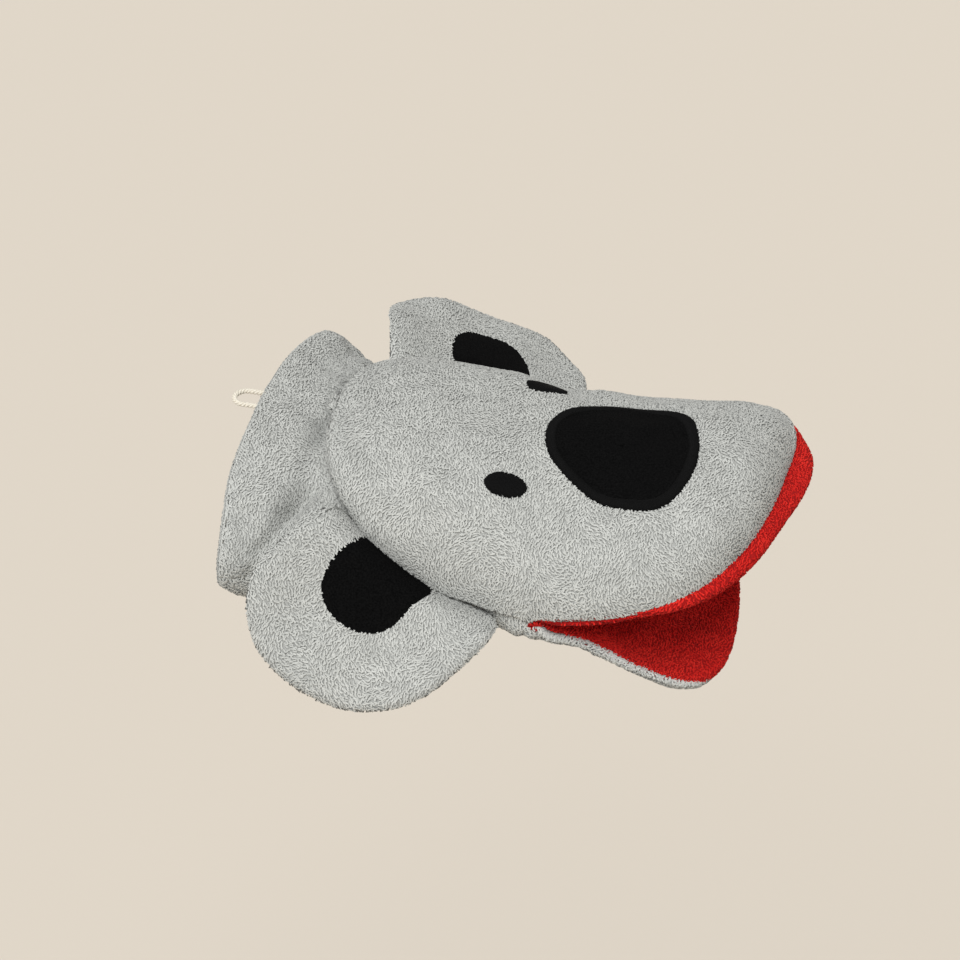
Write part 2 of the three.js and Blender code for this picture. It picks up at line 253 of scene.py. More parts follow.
GREY_PILE = Pile(spacing=0.79, height=0.78, reach=1.6, radius=0.35, lean=0.7)
RED_PILE = Pile(spacing=0.8, height=0.5, reach=1.2, radius=0.33, lean=0.35)
LOOPS_PER_PIECE = 10500
YARN_ROUNDNESS = 0.46                           # how far its shading follows the yarn, not the cloth
COMBED = np.array([0.35, -1.3, -0.5])          # the way that most loops lie
RINGS = 4                                      # points along a loop
SIDES = 3                                      # round its yarn
LOOP_SUNK = 0.15                               # of its ends into the cloth
EDGE_TURNS = (0.1, 0.3, 0.5, 0.7, 0.9)         # half turns round a sheet's edge where loops stand


def scatter(grid, normals, spacing, seed, wrap=False):
    """Places at least about a spacing apart on a grid, each with its normal."""
    if wrap:
        grid = np.concatenate([grid, grid[:, :1]], axis=1)
        normals = np.concatenate([normals, normals[:, :1]], axis=1)
    rng = np.random.default_rng(seed)
    a, b, c, d = grid[:-1, :-1], grid[1:, :-1], grid[1:, 1:], grid[:-1, 1:]
    area = np.linalg.norm(np.cross(c - a, d - b), axis=-1).ravel() / 2
    tries = int(area.sum() / spacing ** 2 * 4)
    cell = rng.choice(len(area), size=tries, p=area / area.sum())
    i, j = np.unravel_index(cell, a.shape[:2])
    u, v = rng.random((2, tries, 1))

    def between(values):
        near = mix(values[i, j], values[i + 1, j], u)
        far = mix(values[i, j + 1], values[i + 1, j + 1], u)
        return mix(near, far, v)

    points = between(grid)
    kept = thinned(points, spacing)
    return points[kept], unit(between(normals))[kept]


def thinned(points, spacing):
    """Numbers of the points that are kept so that no two lie much closer than the spacing.

    Space is cut into cells. Each cell keeps its first point, and of two that are too close the later
    one goes.
    """
    cells = np.floor(points / (spacing * 0.82)).astype(np.int64)
    cells -= cells.min(axis=0) - 1
    width, depth = cells[:, 1].max() + 2, cells[:, 2].max() + 2
    keys, first = np.unique((cells[:, 0] * width + cells[:, 1]) * depth + cells[:, 2], return_index=True)
    alive = np.ones(len(keys), bool)
    steps = [(x, y, z) for x in (0, 1) for y in (-1, 0, 1) for z in (-1, 0, 1) if (x, y, z) > (0, 0, 0)]
    for x, y, z in steps:
        wanted = keys + (x * width + y) * depth + z
        place = np.minimum(np.searchsorted(keys, wanted), len(keys) - 1)
        here = np.flatnonzero(keys[place] == wanted)
        there = place[here]
        gap = np.linalg.norm(points[first[here]] - points[first[there]], axis=1)
        close = gap < spacing * 0.78
        here, there = here[close], there[close]
        alive[np.where(first[here] > first[there], here, there)] = False
    return first[alive]


def edge_places(line, normals, outward, thickness, spacing, seed):
    """Places round the rounded edge of a sheet: line, normals and outward are rows of that edge."""
    rng = np.random.default_rng(seed)
    lengths = np.linalg.norm(np.diff(line, axis=0), axis=1)
    run = np.concatenate([[0], np.cumsum(lengths)])
    places, directions = [], []
    for turn in EDGE_TURNS:
        count = max(int(run[-1] / spacing), 2)
        at = np.linspace(0, run[-1], count) + rng.uniform(-0.3, 0.3, count) * spacing
        at = np.clip(at, 0, run[-1])
        point, normal, out = (
            np.stack([np.interp(at, run, rows[:, k]) for k in range(3)], axis=1)
            for rows in (line, normals, outward)
        )
        angle = math.pi * turn
        direction = unit(unit(normal) * math.cos(angle) + unit(out) * math.sin(angle))
        places.append(point - unit(normal) * thickness / 2 + direction * thickness * 0.4)
        directions.append(direction)
    return np.concatenate(places), np.concatenate(directions)


def sheet_edges(grid, normals, thickness, spacing, seed, sides):
    """Edge places along the sides of a grid named in sides: first, last, left and right."""
    found = []
    rows = {
        "first": (grid[0], normals[0], grid[0] - grid[1]),
        "last": (grid[-1], normals[-1], grid[-1] - grid[-2]),
        "left": (grid[:, 0], normals[:, 0], grid[:, 0] - grid[:, 1]),
        "right": (grid[:, -1], normals[:, -1], grid[:, -1] - grid[:, -2]),
    }
    for number, side in enumerate(sides):
        line, normal, out = rows[side]
        out = unit(out - normal * np.sum(out * normal, axis=1, keepdims=True))
        found.append(edge_places(line, normal, out, thickness, spacing, seed + number))
    return found


def pile_objects(name, places, directions, pile, material, seed):
    """The loops that stand at these places, in as many pieces as keeps each one light."""
    rng = np.random.default_rng(seed)
    order = np.lexsort((places[:, 1], np.round(places[:, 0] / 6)))
    places, directions = places[order], directions[order]
    pieces = max(1, math.ceil(len(places) / LOOPS_PER_PIECE))
    made = []
    for number, rows in enumerate(np.array_split(np.arange(len(places)), pieces)):
        label = name if pieces == 1 else f"{name}_{number + 1}"
        made.append(pile_piece(label, places[rows], directions[rows], pile, material, rng))
    return made


def pile_piece(name, places, normals, pile, material, rng):
    count = len(places)
    flow = COMBED + 0.6 * xyz(ripple(places, 20, 1), ripple(places, 20, 2), ripple(places, 20, 3))
    flow += 0.4 * rng.normal(size=(count, 3))
    flow = unit(flow - normals * np.sum(flow * normals, axis=1, keepdims=True))
    side = np.cross(normals, flow)
    height = pile.height * rng.uniform(0.75, 1.25, (count, 1))
    reach = pile.reach * rng.uniform(0.75, 1.3, (count, 1))
    lean = pile.lean * rng.uniform(0.3, 1.5, (count, 1))
    sway = 0.12 * reach * rng.normal(size=(count, 1))
    radius = pile.radius * rng.uniform(0.85, 1.15, (count, 1))

    centre = np.empty((count, RINGS, 3))
    for k in range(RINGS):
        t = k / (RINGS - 1)
        arch = math.sin(math.pi * t)
        centre[:, k] = (
            places
            + flow * (reach * (t - 0.5) + lean * arch)
            + side * sway * math.sin(2 * math.pi * t)
            + normals * (height * arch - LOOP_SUNK)
        )
    tangent = unit(np.gradient(centre, axis=1))
    side = side[:, None, :]
    sideways = unit(side - tangent * np.sum(side * tangent, axis=2, keepdims=True))
    upward = np.cross(tangent, sideways)
    points = np.empty((count, RINGS, SIDES, 3))
    for k in range(RINGS):
        swell = 0.72 + 0.28 * math.sin(math.pi * k / (RINGS - 1))
        for s in range(SIDES):
            angle = 2 * math.pi * (s + 0.25) / SIDES
            offset = math.cos(angle) * sideways[:, k] + math.sin(angle) * upward[:, k]
            points[:, k, s] = centre[:, k] + offset * radius * swell

    per_loop = RINGS * SIDES
    faces = np.arange(count)[:, None, None] * per_loop + np.array(tube_faces(RINGS, SIDES))
    piece = make_object(name, points.reshape(-1, 3), faces.reshape(-1, 4), [material])
    round_yarn = unit(points - centre[:, :, None, :])
    soft = unit(round_yarn * YARN_ROUNDNESS + normals[:, None, None, :])
    piece.data.normals_split_custom_set_from_vertices(soft.reshape(-1, 3).tolist())

    # One small square of the map to each loop
    across = math.ceil(math.sqrt(count))
    cells = [
        [(k, s), (k, s + 1), (k + 1, s + 1), (k + 1, s)] for k in range(RINGS - 1) for s in range(SIDES)
    ]
    cell = np.array(cells, float) / np.array([RINGS - 1, SIDES]) * 0.8 + 0.1
    corner = np.stack([np.arange(count) % across, np.arange(count) // across], axis=1)
    uv = (corner[:, None, None, :] + cell[None]) / across
    layer = piece.data.uv_layers.new(name="OFBake")
    layer.data.foreach_set("uv", uv.astype(np.float32).ravel())

    patchy = ripple(places, 9, 7) * 0.1 + ripple(places, 45, 8) * 0.05
    shade = np.clip(0.5 + patchy + rng.normal(0, 0.2, count), 0, 1)
    # tip is 0 at a loop's two ends and 1 at its crest; the yarn's material darkens each loop by it towards
    # its roots, as painted shade
    tip = np.sin(np.pi * np.arange(RINGS) / (RINGS - 1))
    add_attribute(piece, "shade", np.repeat(shade, per_loop))
    add_attribute(piece, "tip", np.tile(np.repeat(tip, SIDES), count))
    return piece


def add_attribute(piece, name, values):
    attribute = piece.data.attributes.new(name, "FLOAT", "POINT")
    attribute.data.foreach_set("value", np.asarray(values, np.float32))


# --- Materials ---

def new_material(name, roughness=0.95, sheen=0.0, specular=0.2):
    material = bpy.data.materials.new(name)
    material.use_nodes = True
    shader = material.node_tree.nodes["Principled BSDF"]
    shader.inputs["Roughness"].default_value = roughness
    shader.inputs["Sheen Weight"].default_value = sheen
    shader.inputs["Sheen Roughness"].default_value = 0.5
    shader.inputs["Specular IOR Level"].default_value = specular
    return material, material.node_tree, shader


def add_node(tree, kind, **settings):
    node = tree.nodes.new(kind)
    for key, value in settings.items():
        if key in node.inputs:
            node.inputs[key].default_value = value
        else:
            setattr(node, key, value)
    return node


def ramp(tree, source, *stops):
    """A colour ramp through stops of (place, colour), fed by source."""
    node = tree.nodes.new("ShaderNodeValToRGB")
    elements = node.color_ramp.elements
    elements[0].position, elements[0].color = stops[0][0], (*stops[0][1], 1)
    elements[1].position, elements[1].color = stops[-1][0], (*stops[-1][1], 1)
    for place, colour in stops[1:-1]:
        elements.new(place).color = (*colour, 1)
    tree.links.new(source, node.inputs["Fac"])
    return node.outputs["Color"]


def bumped(tree, shader, height, distance, strength):
    bump = add_node(tree, "ShaderNodeBump", Distance=distance, Strength=strength)
    tree.links.new(height, bump.inputs["Height"])
    tree.links.new(bump.outputs["Normal"], shader.inputs["Normal"])


def object_noise(tree, scale, detail=3.0, kind="ShaderNodeTexNoise"):
    """Noise in the object's own metres."""
    place = tree.nodes.new("ShaderNodeTexCoord")
    noise = add_node(tree, kind, Scale=scale)
    if "Detail" in noise.inputs:
        noise.inputs["Detail"].default_value = detail
    tree.links.new(place.outputs["Object"], noise.inputs["Vector"])
    return noise


def times(tree, colour, factor_output):
    """colour times a grey made from a value."""
    node = add_node(tree, "ShaderNodeMix", data_type="RGBA", blend_type="MULTIPLY")
    node.inputs["Factor"].default_value = 1.0
    tree.links.new(colour, node.inputs["A"])
    tree.links.new(factor_output, node.inputs["B"])
    return node.outputs["Result"]


def pile_material(name, stops, root, sheen):
    """Yarn whose colour comes from each loop's shade, darker at its root: painted shade, for the shade that
    the loops cast on each other near the cloth.
    """
    material, tree, shader = new_material(name, roughness=0.95, sheen=sheen)
    shade = add_node(tree, "ShaderNodeAttribute", attribute_name="shade")
    tip = add_node(tree, "ShaderNodeAttribute", attribute_name="tip")
    colour = ramp(tree, shade.outputs["Fac"], *stops)
    # painted shade: a grey from the root value at a loop's ends to white three quarters of the way to its
    # crest darkens the yarn
    light = ramp(tree, tip.outputs["Fac"], (0.0, (root,) * 3), (0.75, (1, 1, 1)))
    tree.links.new(times(tree, colour, light), shader.inputs["Base Color"])
    fibres = object_noise(tree, 2600, 2.0)
    bumped(tree, shader, fibres.outputs["Fac"], 0.0002, 0.35)
    return material


def knit_material(name, dark, light, scale=900):
    """The cloth that the pile stands on, mottled and finely knobbled."""
    material, tree, shader = new_material(name)
    cells = object_noise(tree, scale, kind="ShaderNodeTexVoronoi")
    mottle = object_noise(tree, 140)
    colour = ramp(tree, mottle.outputs["Fac"], (0.3, dark), (0.7, light))
    shadow = ramp(tree, cells.outputs["Distance"], (0.0, (1, 1, 1)), (0.8, (0.75, 0.75, 0.75)))
    tree.links.new(times(tree, colour, shadow), shader.inputs["Base Color"])
    bumped(tree, shader, cells.outputs["Distance"], 0.0006, 0.6)
    return material


def fibre_material(name, scale, detail, stops, bump, roughness=0.95, sheen=0.0, specular=0.2):
    """Thread, cord or short cut pile: fine noise between two colours, raised by the same noise."""
    material, tree, shader = new_material(name, roughness, sheen, specular)
    fine = object_noise(tree, scale, detail)
    tree.links.new(ramp(tree, fine.outputs["Fac"], *stops), shader.inputs["Base Color"])
    bumped(tree, shader, fine.outputs["Fac"], *bump)
    return material


def thread_material(name, dark, light):
    return fibre_material(name, 3500, 2.0, [(0.35, dark), (0.7, light)], (0.0001, 0.4), 0.75, 0.0, 0.08)


# root is the painted shade at each loop's ends: the share of the yarn's colour that is left there
GREY_YARN = pile_material(
    "grey_yarn",
    [(0.0, (0.44, 0.45, 0.43)), (0.5, (0.50, 0.51, 0.487)), (1.0, (0.57, 0.58, 0.555))],
    root=0.96, sheen=0.12,
)
RED_YARN = pile_material(
    "red_yarn",
    [(0.0, (0.51, 0.010, 0.008)), (0.5, (0.62, 0.016, 0.012)), (1.0, (0.73, 0.027, 0.018))],
    root=0.8, sheen=0.0,
)
GREY_KNIT = knit_material("grey_knit", (0.52, 0.53, 0.506), (0.60, 0.61, 0.585))
# A darker copy of the grey knit for the inner faces of every grey cloth piece and for the hem: painted
# shade, for the shade that lies inside the cloth pieces and the cuff.
GREY_INSIDE_SHADED = knit_material("grey_inside_shaded", (0.36, 0.37, 0.35), (0.48, 0.49, 0.47), 1300)
RED_KNIT = knit_material("red_knit", (0.40, 0.008, 0.008), (0.52, 0.011, 0.01))
VELOUR = fibre_material(
    "black_velour", 1500, 4.0,
    [(0.3, (0.0015, 0.0015, 0.0016)), (0.8, (0.0065, 0.0065, 0.0065))], (0.0005, 0.6), specular=0.03,
)
BLACK_THREAD = thread_material("black_thread", (0.002, 0.002, 0.002), (0.007, 0.007, 0.0072))
GREY_THREAD = thread_material("grey_thread", (0.40, 0.41, 0.39), (0.58, 0.59, 0.56))
COTTON = fibre_material(
    "cotton_cord", 2500, 3.0,
    [(0.3, (0.62, 0.57, 0.47)), (0.7, (0.83, 0.79, 0.70))], (0.0001, 0.5), roughness=0.85, sheen=0.2,
)


# --- Fastening pieces to the frame ---

def finish_piece(piece, slot, body=None, bend=None, stands_for=()):
    """Attaches a piece to its body, or where it has a bend bakes its place into its mesh, and hides what it
    replaces. The slot is not used.
    """
    if bend:
        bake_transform(piece)
    else:
        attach(piece, body)
    if stands_for:
        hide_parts(*stands_for)


def towelling(name, grid, facing, pile, stands_for, seed, body=None, bend=None, edges=(), red=False,
              mask=None, wrap=False, thickness=CLOTH):
    """A sheet of towelling with its pile, as a cloth piece and one or more pile pieces."""
    normals = grid_normals(grid, facing, wrap)
    knit, yarn, slot = (RED_KNIT, RED_YARN, "red_terry") if red else (GREY_KNIT, GREY_YARN, "grey_terry")
    # painted shade: the grey cloth's inner faces take the darker copy of its knit
    inside = RED_KNIT if red else GREY_INSIDE_SHADED
    cloth = cloth_sheet(name, grid, normals, [knit, inside], thickness, wrap)
    finish_piece(cloth, slot, body, bend, stands_for)
    found = [scatter(grid, normals, pile.spacing, seed, wrap)]
    found += sheet_edges(grid, normals, thickness, pile.spacing * 0.9, seed + 10, edges)
    places, directions = (np.concatenate(parts) for parts in zip(*found))
    if mask is not None:
        kept = mask(places)
        places, directions = places[kept], directions[kept]
    pile_pieces = pile_objects(f"{name}_pile", places, directions, pile, yarn, seed + 20)
    for piece in pile_pieces:
        finish_piece(piece, slot, body, bend)


def velour_patch(name, grid, facing, stands_for, body=None, bend=None):
    """A thin black patch laid on the towelling."""
    patch = cloth_sheet(name, grid, grid_normals(grid, facing, True), [VELOUR, VELOUR], THIN_CLOTH, True)
    finish_piece(patch, "black_velour", body, bend, [stands_for])


# --- Shape of the head, as in the CAD design ---

def fullness(x, front_power):
    """1 along the head's middle, falling to 0 at its back and front ends."""
    reach = np.where(
        x < HEAD_MIDDLE,
        (np.maximum(HEAD_MIDDLE - x, 0) / (HEAD_MIDDLE - HEAD_BACK)) ** 10,
        (np.maximum(x - HEAD_MIDDLE, 0) / (HEAD_FRONT - HEAD_MIDDLE)) ** front_power,
    )
    return np.sqrt(np.clip(1 - reach, 0, 1))


def head_half_width(x, side=-1):
    """Half the head's width at x. The left side, where side is 1, has the squarer front corner."""
    x = np.asarray(x, float)
    narrowing = 16 * (np.maximum(130 - x, 0) / 85) ** 1.15
    return (HEAD_HALF_WIDTH - narrowing) * fullness(x, np.where(np.asarray(side) > 0, 9.0, 6.0))


def seam_height(x):
    x = np.asarray(x, float)
    back = -5 + 38.5 * (np.clip(105 - x, 0, 74) / (105 - HEAD_BACK)) ** 1.8
    front = -5 + 22 * (np.maximum(x - HEAD_MIDDLE, 0) / (HEAD_FRONT - HEAD_MIDDLE)) ** 1.2
    return np.where(x < 105, back, front) + 1.0 * np.exp(-((x - 124) / 11) ** 2)


def crown_height(x):
    x = np.asarray(x, float)
    wave = 37 + 3.2 * np.cos(2 * np.pi * (x - 60) / 145)
    seam = seam_height(x)
    return seam + (wave - seam) * fullness(x, 8)


def slanted(x, y, z):
    """The fingers reach further forward on the puppet's left, and so does the snout."""
    share = smooth(x, HEAD_MIDDLE, HEAD_MIDDLE + 70)
    corner = 2.0 * smooth(x, 160, 195) * smooth(y, 12, 45)
    return xyz(x + SNOUT_SLANT * share * y + corner, y, z)


def over_ears(x):
    """1 where the face's edge lies over the ears' roots, 0 elsewhere."""
    return smooth(x, 46, 57) * (1 - smooth(x, 82, 100))


def face_half_width(x, side):
    return head_half_width(x, side) + 1.4 * over_ears(x)


def face_surface(x, y, lift=0.0):
    """The face panel's outer surface, before slanting, with soft hollows in the cloth."""
    across = np.clip(np.abs(y) / np.maximum(face_half_width(x, y), 1e-6), 0, 1)
    seam = seam_height(x) + 0.4 * (1 - smooth(x, 88, 108)) - 1.5 * over_ears(x)
    height = seam + (crown_height(x) - seam) * (1 - across ** 2.2) ** 0.55
    spot = xyz(x, y, 0 * x)
    ends = smooth(x, HEAD_BACK, HEAD_BACK + 12) * smooth(HEAD_FRONT - x, 0, 4)
    soft = smooth(1 - across, 0, 0.3) * ends
    height = height - 3.2 * ends * smooth(x, 118, 170) * smooth(y, 12, 50) * smooth(1 - across, 0, 0.12)
    height = height + soft * (0.7 * ripple(spot, 46, 21) + 0.35 * ripple(spot, 20, 22))
    fuller = smooth(x, 44, 60) * (1 - smooth(x, 90, 104)) * smooth(y, 8, 34) * smooth(1 - across, 0, 0.2)
    dart = np.exp(-((x - JAW_AXIS[0] + 2) / 1.6) ** 2) * smooth(np.abs(y), 40, 56)
    return slanted(x, y, height + 2.2 * fuller - 2.2 * dart + lift)


FACE_NORMAL_STEP = 2.0


def face_normal(x, y):
    along = face_surface(x + FACE_NORMAL_STEP, y) - face_surface(x - FACE_NORMAL_STEP, y)
    across = face_surface(x, y + FACE_NORMAL_STEP) - face_surface(x, y - FACE_NORMAL_STEP)
    return unit(np.cross(along, across))


def on_face(plan, lift):
    """Points lifted off the face along its own normal. plan holds X and Y."""
    x, y = plan[..., 0], plan[..., 1]
    return face_surface(x, y) + face_normal(x, y) * np.asarray(lift)[..., None]


NOSE_CENTRE = np.array([141.5, -4.5])
NOSE_HALF = np.array([29.0, 29.0])
NOSE_BORDER = 0.87


def rounded(angle, power):
    """Cosine and sine that go round a rounded square rather than a circle where power is below 1."""
    cosine, sine = np.cos(angle), np.sin(angle)
    return np.sign(cosine) * np.abs(cosine) ** power, np.sign(sine) * np.abs(sine) ** power


def nose_outline(angle):
    """The nose in plan: wider towards the snout's tip, and leaning a little to its right."""
    cosine, sine = rounded(angle, 0.84)
    x = NOSE_HALF[0] * cosine
    y = NOSE_HALF[1] * sine * (1 + 0.3 * cosine)
    return np.stack([x - np.where(y > 0, 0.19, 0.14) * y, y], axis=-1) + NOSE_CENTRE


def inside_outline(x, y, outline):
    """True where (x, y) lies inside a closed outline, by the crossings of a ray."""
    inside = np.zeros(np.shape(x), bool)
    for (x0, y0), (x1, y1) in zip(outline, np.roll(outline, -1, axis=0)):
        if y0 != y1:
            inside ^= ((y0 > y) != (y1 > y)) & (x < (x1 - x0) * (y - y0) / (y1 - y0) + x0)
    return inside


EYES = {"left": (105.5, 29.0, 0.0), "right": (103.4, -30.8, 0.04)}     # X, Y and turn of each
EYE_HALF = np.array([7.7, 4.8])


def face_clear(places):
    """True where the face's pile is not under the nose or an eye."""
    share = smooth(places[:, 0], HEAD_MIDDLE, HEAD_MIDDLE + 70)
    x, y = places[:, 0] - SNOUT_SLANT * share * places[:, 1], places[:, 1]
    outline = nose_outline(np.linspace(0, 2 * np.pi, 60, endpoint=False))
    outline = NOSE_CENTRE + (outline - NOSE_CENTRE) * 0.96
    covered = inside_outline(x, y, outline)
    for eye_x, eye_y, turn in EYES.values():
        along = (x - eye_x) * math.cos(turn) + (y - eye_y) * math.sin(turn)
        across = (y - eye_y) * math.cos(turn) - (x - eye_x) * math.sin(turn)
        covered |= (along / EYE_HALF[0]) ** 2 + (across / EYE_HALF[1]) ** 2 < 0.75
    return ~covered | (places[:, 2] < 12)


def build_face():
    u, v = crossed(110, 110)
    x = eased(HEAD_BACK + 0.003, HEAD_FRONT - 0.003, u)
    side = np.sin(np.pi * (v - 0.5))
    grid = face_surface(x, face_half_width(x, side) * side)
    towelling("face_cloth", grid, 1, GREY_PILE, ["face_panel"], 100, body="head",
              edges=("left", "right"), mask=face_clear)


# --- Sleeve ---

SLEEVE_UNDER = 14.0                            # how far its back runs on under the face


def sleeve_surface(x, angle, inset=0.0):
    """The sleeve's outer surface. Its rim slants: the palm side and both ends lie further forward."""
    under = smooth(x, SLEEVE_LENGTH - 4, SLEEVE_LENGTH + SLEEVE_UNDER)
    cosine, sine = np.cos(angle), np.sin(angle)
    tucked = (17 - 6 * smooth(cosine, 0.2, 0.8)) * under
    half_width = RIM_HALF_WIDTH - 3 - 10 * (np.clip(x, 0, SLEEVE_LENGTH) / 44) ** 1.5 - tucked - inset
    half_height = RIM_HALF_HEIGHT - 3.5 * x / 44 - 2 * under - inset
    point = xyz(x, half_width * cosine, half_height * sine)
    near_rim = 1 - smooth(x, 0, 34)
    far_end = 6.5 * smooth(cosine, 0.35, 0.95) * smooth(sine, -0.3, 0.2)
    near_end = 3.5 * smooth(-cosine, 0.5, 0.95)
    palm = 8.5 * smooth(-sine, -0.1, 0.45)
    folds = (0.9 * ripple(point, 34, 31) + 0.5 * ripple(point, 15, 32)) * smooth(x, -1, 8)
    valley = -3.0 * np.exp(-((x - 29 - 0.06 * point[..., 1]) / 5) ** 2) * smooth(sine, 0.0, 0.5)
    by_ear = x - 33 - 0.55 * (point[..., 1] + 34)
    near_side = smooth(-point[..., 1], 24, 40) * smooth(sine, -0.3, 0.1)
    valley = valley - 4.0 * np.exp(-(by_ear / 4.5) ** 2) * near_side
    out = unit(xyz(0 * x, cosine / half_width, sine / half_height))
    point = point + out * (folds + valley)[..., None]
    point[..., 0] += 1.2 * near_rim + near_rim * np.maximum(np.maximum(far_end, near_end), palm)
    far_side = smooth(cosine, 0.3, 0.85) * smooth(sine, -0.2, 0.3)
    corner = far_side * (1 - smooth(x, 2, 24))
    hollow = far_side * np.sin(np.pi * np.clip(x / 32, 0, 1))
    point[..., 1:] -= hollow[..., None] * [2.2, 1.0]
    point[..., 1] += 4.5 * corner
    point[..., 2] += 3.0 * corner
    return point


HEM_CLOTH = 2.1                                # the hem is pressed thinner


def build_sleeve():
    seam = 0.035
    halves = [
        ("sleeve_back_cloth", seam, math.pi - seam, SLEEVE_LENGTH + SLEEVE_UNDER,
         ["sleeve_back_panel", "sleeve_left_seam"], 200),
        ("sleeve_palm_cloth", math.pi + seam, 2 * math.pi - seam, SLEEVE_LENGTH,
         ["sleeve_palm_panel", "sleeve_right_seam"], 220),
    ]
    for name, first, last, front, stands_for, seed in halves:
        u, v = crossed(50, 110)
        grid = sleeve_surface(0.4 + u * (front - 0.4), mix(first, last, v))
        towelling(name, grid, -1, GREY_PILE, stands_for, seed, body="sleeve",
                  edges=("first", "left", "right"))
    u, v = crossed(10, 160)
    hem = sleeve_surface(1 + u * 20, 2 * np.pi * v, CLOTH + 1.0)[:, :-1]
    normals = grid_normals(hem, -1, True)
    # The hem is all in the darker copy of the grey knit, as painted shade.
    piece = cloth_sheet("cuff_hem_cloth", hem, normals, [GREY_INSIDE_SHADED, GREY_INSIDE_SHADED], HEM_CLOTH, True)
    finish_piece(piece, "grey_terry", "sleeve", stands_for=["cuff_hem"])


def inside_cuff(x, y, lift):
    """Points a lift inside the hem's inner face, at the top of the cuff."""
    inset = CLOTH + 1.0 + HEM_CLOTH + lift
    angle = np.arccos(y / (RIM_HALF_WIDTH - 3 - inset))
    return sleeve_surface(x, angle, inset) * [0, 0, 1] + xyz(x, y, 0)


def build_tack():
    """Two close rows of stitches that hold the loop's ends inside the hem."""
    y = np.linspace(-8, 8, 34)
    slope = 0.5 * np.where(np.arange(len(y)) % 2, 1, -1)
    starts = [inside_cuff(np.full(len(y), first), y - slope, 0.2) for first in (2.5, 6.2)]
    ends = [inside_cuff(np.full(len(y), last), y + slope, 0.2) for last in (5.8, 9.5)]
    tack = bars_object("loop_tack_stitches", np.concatenate(starts), np.concatenate(ends),
                       np.tile([0.0, 0, -1], (2 * len(y), 1)), 0.35, 0.26, GREY_THREAD)
    finish_piece(tack, "grey_thread", "sleeve", stands_for=["loop_tack"])


# --- Under the head: throat, jaw crease and chin are one surface cut into three pieces ---

JAW_TIP = JAW_FRONT - 6                        # leaves room for the pile
JAW_SLANT = -0.115


def jaw_reach(x):
    return np.clip((x - JAW_AXIS[0]) / (JAW_TIP - JAW_AXIS[0]), 0, 1)


def lip_height(x):
    return JAW_AXIS[2] - JAW_DROP * jaw_reach(x) ** 0.82


def jaw_half_width(x):
    return (JAW_HALF_WIDTH - 1.5) * np.sqrt(np.clip(1 - jaw_reach(x) ** 8, 0, 1))


def jaw_slanted(point):
    share = smooth(point[..., 0], JAW_AXIS[0] + 9, JAW_TIP)
    point[..., 2] += 1.3 * smooth(point[..., 0], JAW_AXIS[0] + 1, JAW_AXIS[0] + 20)
    point[..., 0] += JAW_SLANT * share * point[..., 1] - 1.5 * share
    return point


THROAT_TUCK = 2.0                              # its edge lies this far up inside the face's edge


def throat_surface(x, v):
    rim = seam_height(x) + THROAT_TUCK
    rim_angle = np.arcsin(np.clip(rim / THROAT_DEPTH, -0.95, 0.95))
    half_width = (head_half_width(x) - CLOTH - 0.5) / np.cos(rim_angle)
    angle = mix(-np.pi - rim_angle, rim_angle, v)
    return xyz(x, half_width * np.cos(angle), THROAT_DEPTH * np.sin(angle))


def chin_surface(x, v):
    across = np.sin(np.pi * (v - 0.5))
    depth = CHIN_DEPTH * np.sqrt(1 - jaw_reach(x) ** 3.5)
    return xyz(x, jaw_half_width(x) * across, lip_height(x) - depth * (1 - np.abs(across) ** 2.4) ** 0.9)


def under_surface(x, v):
    share = smooth(x, THROAT_FRONT - 4, JAW_BACK + 6)[..., None]
    point = mix(throat_surface(x, v), chin_surface(x, v), share)
    rim = smooth(v, 0, 0.12) * smooth(1 - v, 0, 0.12)
    folds = (0.8 * ripple(point, 38, 41) + 0.4 * ripple(point, 17, 42)) * smooth(JAW_TIP - x, 1, 14)
    pucker = 0.7 * np.sin((x - THROAT_FRONT) * 2 * np.pi / 7) * np.exp(-((x - 118) / 7) ** 2)
    point[..., 2] -= (folds + pucker) * rim
    bulge = np.exp(-((point[..., 2] + 15) / 8) ** 2) * smooth(x, 94, 113) * (1 - smooth(x, 116, 140))
    point[..., 1] *= 1 + 0.15 * bulge
    return jaw_slanted(point)


JAW_BEND = ("head", "lower_jaw", np.array([112.0, 0, 0]), np.array([129.0, 0, 0]))
WRIST_BEND = ("sleeve", "head", np.array([43.0, 0, 0]), np.array([55.0, 0, 0]))


